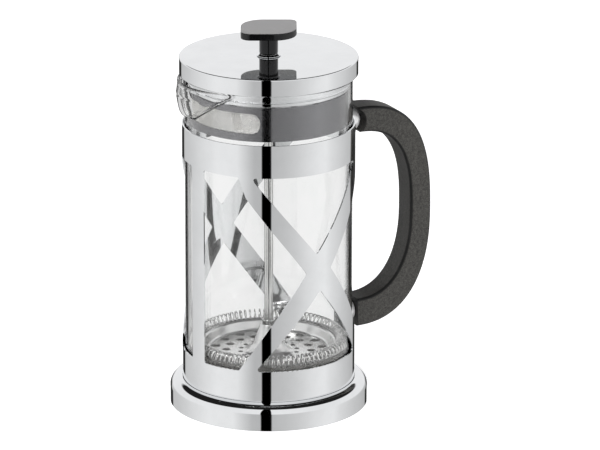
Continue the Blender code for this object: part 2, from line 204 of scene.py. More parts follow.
def polished_metal(name, colour, roughness, haze=0.05, metallic=1.0):
    """Bright metal with faint turning lines, wiping haze and a little tarnish."""
    finish = Finish(name, Metallic=metallic)
    cloud = finish.grain(22, 4.0)
    lines = finish.grain(1.4, 2.0, (0.02, 0.02, 1))
    tarnish = finish.grain(6, 5.0, roughness=0.65).rise(0.42, 0.75)
    worn = tuple(channel * 0.88 for channel in colour)
    finish.vary("Base Color", finish.mixed(cloud.rise(0.3, 0.75) * 0.5 + tarnish * 0.2, colour, worn))
    finish.vary("Roughness", roughness + cloud * haze + lines * haze * 0.3)
    finish.bump(lines * 0.6 + finish.grain(0.5) * 0.4, 0.0015, 0.12)
    return finish.material


def satin_metal(name, colour, roughness):
    """Brushed metal: fine lines round the piece, and a soft bloom."""
    finish = Finish(name, Metallic=1.0)
    lines = finish.grain(0.5, 3.0, (0.03, 0.03, 1))
    cloud = finish.grain(15, 3.0)
    dark = tuple(channel * 0.72 for channel in colour)
    finish.vary("Base Color", finish.mixed(lines * 0.5 + cloud * 0.5, dark, colour))
    finish.vary("Roughness", roughness + lines * 0.12 + cloud * 0.06)
    finish.bump(lines, 0.006, 0.25)
    return finish.material


def wire_metal(name, colour, dull):
    """Drawn wire, clouded by its colour times `dull`."""
    finish = Finish(name, Metallic=1.0)
    cloud = finish.grain(2.5, 3.0)
    dark = tuple(channel * dull for channel in colour)
    finish.vary("Base Color", finish.mixed(cloud.rise(0.3, 0.7), dark, colour))
    finish.vary("Roughness", 0.16 + cloud * 0.16)
    return finish.material


def clear_glass():
    """Clear glass with the faint waviness and film of a blown beaker."""
    finish = Finish("beaker_glass", Transmission_Weight=1.0, IOR=1.47, Metallic=0.0)
    film = finish.grain(9, 3.0).rise(0.45, 0.8)
    finish.vary("Base Color", finish.mixed(film, (1.0, 1.0, 1.0), (0.975, 0.985, 0.98)))
    finish.vary("Roughness", film * 0.012)
    finish.bump(finish.grain(18, 1.0), 0.02, 0.15)
    return finish.material


def moulded_grip():
    """Charcoal plastic with a spark-eroded grain, darker on its rounded edges, which are picked by which
    way they face, and with painted shade on its inner side and the other rims that don't face up.
    """
    finish = Finish("grip_grain", IOR=PLASTIC_INDEX)
    fine = finish.grain(0.55, 3.0, roughness=0.6)
    coarse = finish.grain(1.7, 2.0)
    blotch = finish.grain(14, 2.0)
    height = fine * 0.7 + coarse * 0.3
    tone = finish.mixed(height.rise(0.38, 0.66), (0.02, 0.019, 0.017), (0.09, 0.087, 0.079))
    tone = finish.mixed(blotch * 0.25, tone, (0.05, 0.048, 0.043))
    normal = finish.node("ShaderNodeTexCoord", out="Normal")
    normal = finish.node("ShaderNodeSeparateXYZ", None, {0: normal})
    sideways = normal.output("Y").worked("ABSOLUTE")
    # The rounded edges between the flat sides and the rims, picked by which way they face, take the dark
    # colour.
    edge = sideways.rise(0.08, 0.4) * (1 - sideways.rise(0.86, 0.985))
    # Painted shade: the inner side and the other rims that don't face up are darkened, as if the light
    # didn't reach them.
    inner = (1 - sideways.rise(0.05, 0.3)) * (1 - normal.output("Z").rise(-0.3, 0.6)) * 0.6
    finish.vary("Base Color", finish.mixed(edge + inner, tone, (0.006, 0.006, 0.006)))
    finish.vary("Roughness", 0.4 + fine * 0.22 + blotch * 0.08)
    finish.bump(height, 0.14, 0.8)
    return finish.material


def satin_plastic(name, colour, roughness, depth, index=GLOSSY_INDEX):
    """Black moulded plastic with a very fine grain and handling marks."""
    finish = Finish(name, IOR=index)
    fine = finish.grain(0.35, 2.0)
    marks = finish.grain(7, 4.0, (1, 0.35, 1), 0.6).rise(0.5, 0.8)
    light = tuple(channel * 1.8 + 0.004 for channel in colour)
    finish.vary("Base Color", finish.mixed(fine * 0.6 + marks * 0.4, colour, light))
    finish.vary("Roughness", roughness + fine * 0.08 + marks * 0.08)
    finish.bump(fine, depth, 0.5)
    return finish.material


def milky_silicone():
    finish = Finish("seat_silicone", IOR=1.41, Subsurface_Weight=0.25, Subsurface_Scale=0.002)
    cloud = finish.grain(5, 3.0)
    finish.vary("Base Color", finish.mixed(cloud, (0.7, 0.7, 0.68), (0.82, 0.82, 0.8)))
    finish.vary("Roughness", 0.45 + cloud * 0.2)
    finish.bump(finish.grain(0.8), 0.02, 0.3)
    return finish.material


CHROME = polished_metal("mirror_chrome", (0.83, 0.84, 0.85), 0.012, haze=0.02)
PLATE_STEEL = polished_metal("bright_steel", (0.8, 0.8, 0.79), 0.05, haze=0.08)
PALE_METAL = polished_metal("pale_metal", (0.93, 0.93, 0.93), 0.18, metallic=0.35)
COLLAR_STEEL = satin_metal("collar_steel", (0.23, 0.23, 0.241), 0.05)
SPRING_WIRE = wire_metal("spring_wire", (0.95, 0.95, 0.94), 0.8)
DISH_STEEL = polished_metal("dish_steel", (0.95, 0.95, 0.94), 0.16, haze=0.06, metallic=0.7)
WOVEN_WIRE = wire_metal("woven_wire", (0.9, 0.89, 0.86), 0.8)
WOVEN_CLOTH = wire_metal("strainer_wire", (0.96, 0.95, 0.92), 0.9)
BRASS = polished_metal("turned_brass", (0.76, 0.57, 0.27), 0.16)
GLASS = clear_glass()
GRIP = moulded_grip()
KNOB = satin_plastic("knob_black", (0.003, 0.003, 0.0034), 0.05, 0.003, PLASTIC_INDEX)
# The knob's top: a satin finish, and a lighter grey colour that is painted sheen on the black plastic.
KNOB_TOP_PAINTED_SHEEN = satin_plastic("knob_satin_top", (0.235, 0.23, 0.231), 0.3, 0.012)
BASE_PLASTIC = satin_plastic("base_black", (0.02, 0.02, 0.02), 0.45, 0.04)
SILICONE = milky_silicone()


# Shapes


def placed(name, data):
    """A new object of the scene."""
    made = bpy.data.objects.new(name, data)
    bpy.context.scene.collection.objects.link(made)
    return made


def new_piece(name, mesh, material, sharp=40.0):
    mesh.materials.clear()
    mesh.materials.append(material)
    mesh.shade_smooth()
    mesh.set_sharp_from_angle(angle=radians(sharp))
    return placed(name, mesh)


def mesh_from(name, builder, recalculate=True):
    if recalculate:
        bmesh.ops.recalc_face_normals(builder, faces=builder.faces)
    mesh = bpy.data.meshes.new(name)
    builder.to_mesh(mesh)
    builder.free()
    return mesh


def baked(piece):
    """The piece with its modifiers worked into a plain mesh."""
    graph = bpy.context.evaluated_depsgraph_get()
    mesh = bpy.data.meshes.new_from_object(piece.evaluated_get(graph), depsgraph=graph)
    piece.modifiers.clear()
    piece.data = mesh
    return piece


def arc(centre, radius, start, end, steps):
    turns = [radians(start + (end - start) * step / steps) for step in range(steps + 1)]
    return [(centre[0] + radius * cos(turn), centre[1] + radius * sin(turn)) for turn in turns]


def softened(corners, radius, steps=4, flank=0.03):
    """A loop of corners, each one rounded by the same radius or by its own.

    Straight stretches get a point just inside each end, which keeps their shading flat.
    """
    radii = radius if isinstance(radius, list) else [radius] * len(corners)
    outline = []
    for index, corner in enumerate(corners):
        here, size = Vector(corner), radii[index]
        back, on = Vector(corners[index - 1]) - here, Vector(corners[(index + 1) % len(corners)]) - here
        half = back.angle(on) / 2
        if not size or pi / 2 - half < 0.02:
            outline.append(tuple(here))
            continue
        reach = min(size / tan(half), 0.44 * back.length, 0.44 * on.length)
        size = reach * tan(half)
        back, on = back.normalized(), on.normalized()
        centre = here + (back + on).normalized() * (size / sin(half))
        sweep = pi - 2 * half
        if back.cross(on) > 0:
            sweep = -sweep
        first = here + back * reach - centre
        if flank:
            outline.append(tuple(here + back * (reach + flank)))
        for step in range(steps + 1):
            outline.append(tuple(centre + Matrix.Rotation(sweep * step / steps, 2) @ first))
        if flank:
            outline.append(tuple(here + on * (reach + flank)))
    return outline


def turned(name, outline, material, segments=ROUND, place=None, bulge=None):
    """A solid of revolution about Z, from a loop of (radius, height) points.

    One with a bulge has its sides closer together towards -X.
    """
    builder = bmesh.new()
    rings, closest = [], 0.45
    for radius, height in outline:
        if radius <= 0:
            rings.append([builder.verts.new(metres((0, 0, height)))] * segments)
            continue
        ring = []
        for side in range(segments):
            turn = 2 * pi * side / segments
            reach = radius
            if bulge:
                turn = pi + (turn - pi) * (closest + (1 - closest) * (turn / pi - 1) ** 2)
                reach += bulge(turn, height)
            ring.append(builder.verts.new(metres((reach * cos(turn), reach * sin(turn), height))))
        rings.append(ring)
    for lower, upper in zip(rings, rings[1:] + rings[:1]):
        for side in range(segments):
            following = (side + 1) % segments
            loop = dict.fromkeys((lower[side], lower[following], upper[following], upper[side]))
            if len(loop) > 2:
                builder.faces.new(list(loop))
    if place:
        bmesh.ops.transform(builder, matrix=place, verts=builder.verts)
    return new_piece(name, mesh_from(name, builder), material)


def lofted(name, rings, material):
    """One closed skin through rings of equal length, with a cap at each end."""
    builder = bmesh.new()
    loops = [[builder.verts.new(metres(point)) for point in ring] for ring in rings]
    for lower, upper in zip(loops, loops[1:]):
        for side in range(len(lower)):
            following = (side + 1) % len(lower)
            builder.faces.new([lower[side], lower[following], upper[following], upper[side]])
    builder.faces.new(loops[0])
    builder.faces.new(loops[-1])
    return new_piece(name, mesh_from(name, builder), material, LOFT_SHARP)


def flat_sheet(name, outline, holes, columns=()):
    """A flat sheet with holes, cut along lines of constant x so that it can be rolled."""
    builder = bmesh.new()
    for loop in [outline, *holes]:
        corners = [builder.verts.new(metres((x, y, 0))) for x, y in loop]
        for first, second in zip(corners, corners[1:] + corners[:1]):
            builder.edges.new((first, second))
    bmesh.ops.triangle_fill(builder, edges=builder.edges, use_beauty=True)
    for column in columns:
        everything = [*builder.verts, *builder.edges, *builder.faces]
        bmesh.ops.bisect_plane(
            builder, geom=everything, plane_co=metres((column, 0, 0)), plane_no=(1, 0, 0), dist=1e-7
        )
    bmesh.ops.recalc_face_normals(builder, faces=builder.faces)
    if sum(face.normal.z for face in builder.faces) < 0:
        bmesh.ops.reverse_faces(builder, faces=builder.faces)
    return mesh_from(name, builder, recalculate=False)


def along_x(distance, height):
    """The placing that turns a piece made about Z to lie along +X at a height."""
    return Matrix.Translation(metres((distance, 0, height))) @ Matrix.Rotation(pi / 2, 4, "Y")


# Geometry trees


def started(name, sizes):
    """A geometry tree with an input for each size, and the values of its inputs by name."""
    group = bpy.data.node_groups.new(name, "GeometryNodeTree")
    kinds = {float: "NodeSocketFloat", int: "NodeSocketInt"}
    group.interface.new_socket("Geometry", in_out="INPUT", socket_type="NodeSocketGeometry")
    for label, size in sizes.items():
        kind = kinds.get(type(size), "NodeSocketMaterial")
        group.interface.new_socket(label, in_out="INPUT", socket_type=kind)
    group.interface.new_socket("Geometry", in_out="OUTPUT", socket_type="NodeSocketGeometry")
    tree = Tree(group)
    entry = tree.node("NodeGroupInput")
    tree.socket_of = {label: entry.output(label) for label in ["Geometry", *sizes]}
    return tree, tree.socket_of


def grown(name, tree, shape, sizes, start=None):
    """Ends a geometry tree and gives the plain mesh that it makes with these sizes."""
    shape = tree.node("GeometryNodeRealizeInstances", None, {"Geometry": shape})
    metal = tree.socket_of["Material"]
    shape = tree.node("GeometryNodeSetMaterial", None, {"Geometry": shape, "Material": metal})
    exit_node = tree.nodes.nodes.new("NodeGroupOutput")
    tree.nodes.links.new(shape.socket, exit_node.inputs[0])
    piece = placed(name, start or bpy.data.meshes.new(name))
    modifier = piece.modifiers.new(name, "NODES")
    modifier.node_group = tree.nodes
    for socket in tree.nodes.interface.items_tree:
        if socket.in_out == "INPUT" and socket.name in sizes:
            modifier[socket.identifier] = sizes[socket.name]
    baked(piece)
    piece.data.shade_smooth()
    return piece


def true_round(piece):
    """Shades the faces that look straight out from the axis, or in, as a perfect round."""
    mesh, normals = piece.data, []
    for polygon in mesh.polygons:
        for index in polygon.vertices:
            place = mesh.vertices[index].co
            out = Vector((place.x, place.y, 0)).normalized()
            facing = polygon.normal.dot(out)
            normals.append(out * (1 if facing > 0 else -1) if abs(facing) > 0.9 else polygon.normal.copy())
    mesh.normals_split_custom_set(normals)
    return piece


def rolled_sheet(name, start, radius, wall, metal):
    """Rolls a flat sheet into a tube about Z, closes its seam and gives it a wall on its inside."""
    sizes = {"Radius": radius * MM, "Wall": wall * MM, "Material": metal}
    tree, sockets = started("roll_" + name, sizes)
    place = tree.node("GeometryNodeInputPosition")
    parts = tree.node("ShaderNodeSeparateXYZ", None, {0: place})
    turn = parts.output("X") / sockets["Radius"]
    across, along = turn.worked("COSINE"), turn.worked("SINE")
    onto = tree.vector(across * sockets["Radius"], along * sockets["Radius"], parts.output("Y"))
    tube = tree.node("GeometryNodeSetPosition", None, {"Geometry": sockets["Geometry"], "Position": onto})
    tube = tree.node("GeometryNodeMergeByDistance", None, {"Geometry": tube, "Distance": 1e-6})
    parts = tree.node("ShaderNodeSeparateXYZ", None, {0: tree.node("GeometryNodeInputPosition")})
    share = 0 - sockets["Wall"] / sockets["Radius"]
    inwards = tree.vector(parts.output("X") * share, parts.output("Y") * share, 0.0)
    pushed = {"Mesh": tube, "Offset": inwards, "Offset Scale": 1.0, "Individual": False}
    inner = tree.node("GeometryNodeExtrudeMesh", {"mode": "FACES"}, pushed)
    inner = tree.node("GeometryNodeFlipFaces", None, {"Mesh": inner})
    both = tree.node("GeometryNodeJoinGeometry", None, {"Geometry": [tube, inner]})
    both = tree.node("GeometryNodeMergeByDistance", None, {"Geometry": both, "Distance": 1e-6})
    return true_round(grown(name, tree, both, sizes, start))


def wires(tree, curves, wire_radius, sides):
    profile = {"Resolution": sides, "Radius": wire_radius}
    profile = tree.node("GeometryNodeCurvePrimitiveCircle", None, profile)
    return tree.node("GeometryNodeCurveToMesh", None, {"Curve": curves, "Profile Curve": profile})


def coiled_ring(name, ring, coil, wire, height, turns, steps, metal):
    """A closed ring of wire turns about Z."""
    sizes = {"Ring Radius": ring * MM, "Coil Radius": coil * MM, "Wire Radius": wire * MM}
    sizes |= {"Height": height * MM, "Turns": turns, "Steps": steps, "Material": metal}
    tree, sockets = started(name, sizes)
    count = sockets["Turns"] * sockets["Steps"]
    line = tree.node("GeometryNodeMeshLine", None, {"Count": count, "Offset": (0, 0, 0)})
    curve = tree.node("GeometryNodeMeshToCurve", None, {"Mesh": line})
    curve = tree.node("GeometryNodeSetSplineCyclic", None, {"Geometry": curve, "Cyclic": True})
    index = tree.node("GeometryNodeInputIndex")
    around, wound = index / count * (2 * pi), index / sockets["Steps"] * (2 * pi)
    reach = sockets["Ring Radius"] + sockets["Coil Radius"] * wound.worked("COSINE")
    rise = sockets["Height"] + sockets["Coil Radius"] * wound.worked("SINE")
    place = tree.vector(reach * around.worked("COSINE"), reach * around.worked("SINE"), rise)
    curve = tree.node("GeometryNodeSetPosition", None, {"Geometry": curve, "Position": place})
    return grown(name, tree, wires(tree, curve, sockets["Wire Radius"], 8), sizes)


def woven_lattice(tree, sockets, columns, rows):
    """Wires that cross over and under each other on a flat lattice centred on the origin."""
    pitch = sockets["Pitch"]
    layers = []
    for along_rows in (False, True):
        counts = (rows, columns) if along_rows else (columns, rows)
        steps = [tree.vector(0.0, pitch, 0.0), tree.vector(pitch, 0.0, 0.0)]
        spread, run = (steps[0], steps[1]) if along_rows else (steps[1], steps[0])
        seats = tree.node("GeometryNodeMeshLine", None, {"Count": counts[0], "Offset": spread})
        strand = tree.node("GeometryNodeMeshLine", None, {"Count": counts[1], "Offset": run})
        strand = tree.node("GeometryNodeMeshToCurve", None, {"Mesh": strand})
        laid = tree.node("GeometryNodeInstanceOnPoints", None, {"Points": seats, "Instance": strand})
        laid = tree.node("GeometryNodeRealizeInstances", None, {"Geometry": laid})
        parts = tree.node("ShaderNodeSeparateXYZ", None, {0: tree.node("GeometryNodeInputPosition")})
        x, y = parts.output("X"), parts.output("Y")
        over = ((x + y) / pitch * pi).worked("COSINE") * sockets["Wire Radius"] * (1 if along_rows else -1)
        shift = tree.vector(pitch * (-(columns - 1) / 2), pitch * (-(rows - 1) / 2), over)
        layers.append(tree.node("GeometryNodeSetPosition", None, {"Geometry": laid, "Offset": shift}))
    return tree.node("GeometryNodeJoinGeometry", None, {"Geometry": layers})


def woven_band(name, radius, middle, height, span, pitch, wire, metal):
    """Wire cloth bent round the axis, `span` degrees wide about the -X side."""
    sizes = {"Radius": radius * MM, "Height": middle * MM, "Pitch": pitch * MM, "Wire Radius": wire * MM}
    sizes["Material"] = metal
    tree, sockets = started(name, sizes)
    cloth = woven_lattice(tree, sockets, int(radians(span) * radius / pitch), int(height / pitch) + 1)
    parts = tree.node("ShaderNodeSeparateXYZ", None, {0: tree.node("GeometryNodeInputPosition")})
    turn = parts.output("X") / sockets["Radius"] + pi
    reach = sockets["Radius"] + parts.output("Z")
    rise = parts.output("Y") + sockets["Height"]
    place = tree.vector(reach * turn.worked("COSINE"), reach * turn.worked("SINE"), rise)
    cloth = tree.node("GeometryNodeSetPosition", None, {"Geometry": cloth, "Position": place})
    return grown(name, tree, wires(tree, cloth, sockets["Wire Radius"], 4), sizes)


def woven_dish(name, rim, floor, lift, slope, pitch, wire, metal):
    """A round of wire cloth pressed into a shallow dish, which rises by `lift` over a sloping ring."""
    sizes = {"Rim": rim * MM, "Floor": floor * MM, "Lift": lift * MM}
    sizes |= {"Pitch": pitch * MM, "Wire Radius": wire * MM, "Material": metal}
    tree, sockets = started(name, sizes)
    count = int(2 * rim / pitch) // 2 * 2
    cloth = woven_lattice(tree, sockets, count, count)
    parts = tree.node("ShaderNodeSeparateXYZ", None, {0: tree.node("GeometryNodeInputPosition")})
    x, y = parts.output("X"), parts.output("Y")
    reach = (x * x + y * y) ** 0.5
    outside = reach.worked("GREATER_THAN", sockets["Rim"])
    cloth = tree.node(
        "GeometryNodeDeleteGeometry", {"domain": "POINT"}, {"Geometry": cloth, "Selection": outside}
    )
    lift = reach.rise(slope[0] * MM, slope[1] * MM) * sockets["Lift"] + sockets["Floor"]
    shift = tree.vector(0.0, 0.0, lift)
    cloth = tree.node("GeometryNodeSetPosition", None, {"Geometry": cloth, "Offset": shift})
    return grown(name, tree, wires(tree, cloth, sockets["Wire Radius"], 4), sizes)


def pierced_dish(name, start, rings, height, count, metal):
    """A turned plate with rings of round holes. A ring is its radius, its hole's radius and its offset."""
    sizes = {"Holes": count, "Height": height * MM, "Material": metal}
    tree, sockets = started(name, sizes)
    cutters = []
    for ring_radius, hole_radius, offset in rings:
        seats = {"Vertices": sockets["Holes"], "Radius": ring_radius * MM}
        seats = tree.node("GeometryNodeMeshCircle", None, seats)
        turn = {"Geometry": seats, "Rotation": (0, 0, 2 * pi * offset / count)}
        turn["Translation"] = tree.vector(0.0, 0.0, sockets["Height"])
        seats = tree.node("GeometryNodeTransform", None, turn)
        drill = {"Vertices": 24, "Radius": hole_radius * MM, "Depth": 0.024}
        drill = tree.node("GeometryNodeMeshCylinder", None, drill)
        laid = tree.node("GeometryNodeInstanceOnPoints", None, {"Points": seats, "Instance": drill})
        cutters.append(tree.node("GeometryNodeRealizeInstances", None, {"Geometry": laid}))
    cutters = tree.node("GeometryNodeJoinGeometry", None, {"Geometry": cutters})
    settings = {"operation": "DIFFERENCE", "solver": "EXACT"}
    sockets_of_cut = {"Mesh 1": sockets["Geometry"], "Mesh 2": cutters}
    plate = tree.node("GeometryNodeMeshBoolean", settings, sockets_of_cut)
    return grown(name, tree, plate, sizes, start)


# Base, sleeve and handle


def make_base():
    """The chrome base with the pan that the sleeve stands in, its underside and the glass's seat."""
    radius, _, top = extent("base_shell")
    inner, foot, _ = extent("sleeve")
    wall, clearance, low = 1.0, 0.3, 0.3
    pan, floor = inner + clearance, foot - clearance
    wide, deep, steps = 6.8, 5.6, 24

    def shoulder(inwards):
        """A quarter ellipse from the outer wall up to the flat top."""
        across, up = radius - wide, top - deep
        wide_here, deep_here = wide - inwards, deep - inwards
        turns = [pi / 2 * step / steps for step in range(steps + 1)]
        return [(across + wide_here * cos(turn), up + deep_here * sin(turn)) for turn in turns]

    outline = [(radius, low), *shoulder(0), (pan, top), (pan, floor), (0, floor), (0, floor - wall)]
    outline += [(pan + wall, floor - wall), (pan + wall, top - wall), *shoulder(wall)[::-1]]
    shell = turned("weighted_base", [*outline, (radius - wall, low)], CHROME)
    radius, low, high = extent("base_plate")
    outline = [(0, low), (radius, low), (radius, high), (0, high)]
    plate = turned("base_underside", softened(outline, [0, 0.8, 0.3, 0]), BASE_PLASTIC)
    radius, low, high = extent("beaker_seat")
    outline = [(radius - 10, low), (radius, low), (radius, high), (radius - 10, high)]
    seat = turned("glass_seat", softened(outline, 0.4), SILICONE)
    return shell, plate, seat


def make_sleeve():
    """The pierced sleeve: two bands joined by an upright strip and by bars that cross in two X shapes."""
    radius, bottom, top = extent("sleeve")
    low, high = 33.5, 149.5
    tab, tab_top = 9.5, 60.0
    windows = [
        [(-164, high), (-136.3, high), (-131, 137.3), (-90, 91), (-136, low), (-163.5, low)],
        [(-127.8, high), (-39, high), (-82.5, 101.5)],
        [(-125, low), (-80, 80), (-38, low)],
        [(-71, 92), (-22, high), (41, high), (89.6, 93.5), (37.8, low)]
        + [(tab, low), (tab, tab_top), (-tab, tab_top), (-tab, low), (-21, low)],
        [(54.8, low), (97.5, 82.9), (141, low)],
        [(59, high), (98.9, 105.5), (138, high)],
        [(108, 94), (155, high), (183, high), (183, low), (156, low)],
    ]
    seam, per_degree, count = -170.5, radians(1) * radius, 180
    left, right = seam * per_degree, (seam + 360) * per_degree
    holes = []
    for corners in windows:
        flat = [(azimuth * per_degree, height) for azimuth, height in corners]
        holes.append(softened(flat, 1.4, 5, flank=0))
    columns = [left + (right - left) * column / count for column in range(1, count)]
    edge = [(left, bottom), (right, bottom), (right, top), (left, top)]
    sheet = flat_sheet("sleeve_sheet", edge, holes, columns)
    return rolled_sheet("pierced_sleeve", sheet, radius, SHEET_WALL, CHROME)


def handle_side(reach, top, bottom, end, steps):
    """One side of the handle's D: a superellipse, fuller in its upper half than in its lower half."""
    upper_power, lower_power = 2.7, 2.35
    middle, half_height = (top + bottom) / 2, (top - bottom) / 2
    points = []
    for step in range(steps + 1):
        turn = pi / 2 - pi * step / steps
        power = upper_power if turn > 0 else lower_power
        out = max(cos(turn), 0) ** (2 / power)
        rise = abs(sin(turn)) ** (2 / power) * (1 if turn > 0 else -1)
        points.append((end + (reach - end) * out, middle + half_height * rise))
    return points


def make_handle():
    """A D-shaped grip of rounded oblong section, hollowed at its upper end for the boss."""
    low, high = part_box("handle")
    reach, top, bottom, end = high.x / MM, high.z / MM, low.z / MM, low.x / MM
    thick, steps, corner = (high.y - low.y) / MM, 120, 2.0
    at_reach, at_top, at_bottom = 13.4, 15.2, 16.7  # how wide the grip is seen from the side
    outer = handle_side(reach, top, bottom, end, steps)
    inner = handle_side(reach - at_reach, top - at_top, bottom + at_bottom, end, steps)
    rings = []
    for (outer_x, outer_z), (inner_x, inner_z) in zip(outer, inner):
        middle = Vector(((outer_x + inner_x) / 2, 0, (outer_z + inner_z) / 2))
        across = Vector((outer_x - inner_x, 0, outer_z - inner_z))
        half = across.length / 2
        across.normalize()
        box = [(-half, -thick / 2), (half, -thick / 2), (half, thick / 2), (-half, thick / 2)]
        loop = softened(box, corner, 6, 0.15)
        rings.append([middle + across * out + Vector((0, side, 0)) for out, side in loop])
    grip = lofted("grip_loop", rings, GRIP)
    scoop_radius, half, distance = 8.3, 12, 50.6
    outline = [(0, -half), (scoop_radius, -half), (scoop_radius, half), (0, half)]
    scoop = turned("scoop", outline, GRIP, 96)
    middle = metres((distance, 0, handle_joint("upper")))
    scoop.data.transform(Matrix.Translation(middle) @ Matrix.Rotation(pi / 2, 4, "X"))
    cut = grip.modifiers.new("scoop", "BOOLEAN")
    cut.object, cut.operation, cut.solver = scoop, "DIFFERENCE", "EXACT"
    baked(grip)
    bpy.data.objects.remove(scoop)
    grip.data.shade_smooth()
    grip.data.set_sharp_from_angle(angle=radians(LOFT_SHARP))
    return grip


def handle_joint(which):
    low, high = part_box(f"handle_{which}_stud")
    return (low.z + high.z) / 2 / MM


def lying(low, high):
    """Start, length and radius of a round piece along +X, from the corners of its box."""
    return low.x / MM, (high.x - low.x) / MM, (high.z - low.z) / 2 / MM


def make_handle_fixings():
    """The domed boss above and the flat spacer below, each with a bore for its stud."""
    bore, dome_radius = 2.3, 7.9
    low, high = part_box("handle_upper_boss")
    start, length, radius = lying(low, high)
    first, last = (90 - degrees(asin(reach / dome_radius)) for reach in (bore, radius))
    dome = arc((0, length - dome_radius), dome_radius, first, last, 12)
    outline = [(bore, 0), (bore, dome[0][1]), *dome, (radius, 0)]
    boss = turned("upper_boss", outline, PALE_METAL, 96, along_x(start, handle_joint("upper")))
    low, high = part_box("handle_lower_spacer")
    start, length, radius = lying(low, high)
    outline = softened([(bore, 0), (bore, length), (radius, length), (radius, 0)], 0.35)
    spacer = turned("lower_spacer", outline, PALE_METAL, 96, along_x(start, handle_joint("lower")))
    return boss, spacer


# Beaker


def spout_bulge(turn, height):
    """How far the glass stands out into the V-shaped spout at this azimuth and height."""
    apex, top, half_angle_at_rim = 176.3, 195.5, 38.0
    if height <= apex:
        return 0
    rise = min((height - apex) / (top - apex), 1)
    off = min(abs(turn - pi) / (radians(half_angle_at_rim) * rise), 4)
    full, full_depth, drawn_back, suddenness = 0.72, 7.8, 2.2, 6
    depth = full_depth * (1 - (1 - min(rise / full, 1)) ** suddenness)
    depth -= drawn_back * max(rise - full, 0) / (1 - full)
    fold = 1 - off**2
    ridge, ridge_width, half_width_at_rim = 1.8, 1.2, 31.8
    from_fold = (off - 1) * half_width_at_rim * rise
    crease = ridge * exp(-((from_fold / ridge_width) ** 2)) * min(rise / 0.1, 1)
    return depth * (fold + sqrt(fold * fold + 0.002)) / 2 + crease


def make_beaker():
    """The glass, with rows of points up its wall where the spout bulges out."""
    _, bottom, rim = extent("beaker")
    outer, wall, corner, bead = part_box("beaker")[1].x / MM - 0.3, 2.0, 8.4, 0.25
    inner, floor = outer - wall, bottom + 2.2
    first_row, between_rows, rows = 173.5, 0.55, 40
    heights = [first_row + between_rows * row for row in range(rows)]
    outline = [(0, bottom), *arc((outer - corner, bottom + corner), corner, -90, 0, 16)]
    outline += [(outer, height) for height in heights]
    outline += [(outer + bead, rim - 1.3), *arc((outer - wall / 2 + bead, rim - 1.0), 1.0, 0, 180, 12)]
    outline += [(inner, height) for height in reversed(heights)]
    outline += [*arc((inner - corner, floor + corner), corner, 0, -90, 16), (0, floor)]
    return turned("clear_beaker", outline, GLASS, 480, bulge=spout_bulge)


# Lid


def make_lid():
    radius, bottom, top = extent("lid_cover")
    wall, hole = 0.9, 5.6
    outline = [(radius, bottom), (radius, top), (hole, top), (hole, top - wall)]
    outline += [(radius - wall, top - wall), (radius - wall, bottom)]
    cover = turned("lid_shell", softened(outline, [0.4, 0.7, 0.3, 0.2, 0.3, 0.4], 6), CHROME)
    flange, low, high = extent("lid_plug")
    step, lip, under = 45.9, 43.2, high - wall
    outline = [(flange, under), (flange, high), (step - wall, high), (step - wall, low + wall)]
    outline += [(lip, low + wall), (lip, low), (step, low), (step, low + 2.1), (step + 0.35, low + 2.6)]
    outline += [(step, low + 3.1), (step, under)]
    radii = [0.3, 0.3, 0.6, 0.6, 0.3, 0.3, 0.9, 0.2, 0.3, 0.2, 0.9]
    plug = turned("lid_step", softened(outline, radii, 5), CHROME)
    return cover, plug


def make_strainer():
    radius, bottom, top = extent("strainer_collar")
    low, high, half_span = bottom + 4.4, bottom + 16.4, 58.0
    per_degree, count = radians(1) * radius, 180
    left, right = (180 - half_span) * per_degree, (180 + half_span) * per_degree
    slot = [(left, low), (right, low), (right, high), (left, high)]
    slot = softened(slot, (high - low) / 2, 10, flank=0)
    columns = [360 * per_degree * column / count for column in range(1, count)]
    edge = [(0, bottom), (360 * per_degree, bottom), (360 * per_degree, top), (0, top)]
    sheet = flat_sheet("collar_sheet", edge, [slot], columns)
    collar = rolled_sheet("strainer_band", sheet, radius, SHEET_WALL, COLLAR_STEEL)
    mesh_radius, low, high = extent("strainer_mesh")
    middle, tall, span, pitch, wire = (low + high) / 2, high - low, 119.0, 0.62, 0.18
    reach = mesh_radius - 0.15
    return collar, woven_band("strainer_cloth", reach, middle, tall, span, pitch, wire, WOVEN_CLOTH)


def make_guide():
    flange, low, high = extent("guide_bush")
    barrel, rest = 5.2, high - 1.0
    outline = [(ROD_BORE, low), (barrel, low), (barrel, rest), (flange, rest), (flange, rest + 0.25)]
    outline += [(flange - 0.95, high), (ROD_BORE, high)]
    bush = turned("rod_bush", softened(outline, [0.3, 0.4, 0.1, 0.1, 0.1, 0.2, 0.3]), CHROME, 96)
    radius, low, high = extent("guide_nut")
    bore = barrel + 0.35
    outline = softened([(bore, low), (radius, low), (radius, high), (bore, high)], 0.4)
    return bush, turned("bush_nut", outline, PLATE_STEEL, SMALL_ROUND)


# Plunger


def make_rod():
    radius, low, high = extent("plunger_rod")
    outline = softened([(0, low), (radius, low), (radius, high), (0, high)], [0, 0.6, 0.3, 0])
    return turned("rod", outline, PLATE_STEEL, SMALL_ROUND)


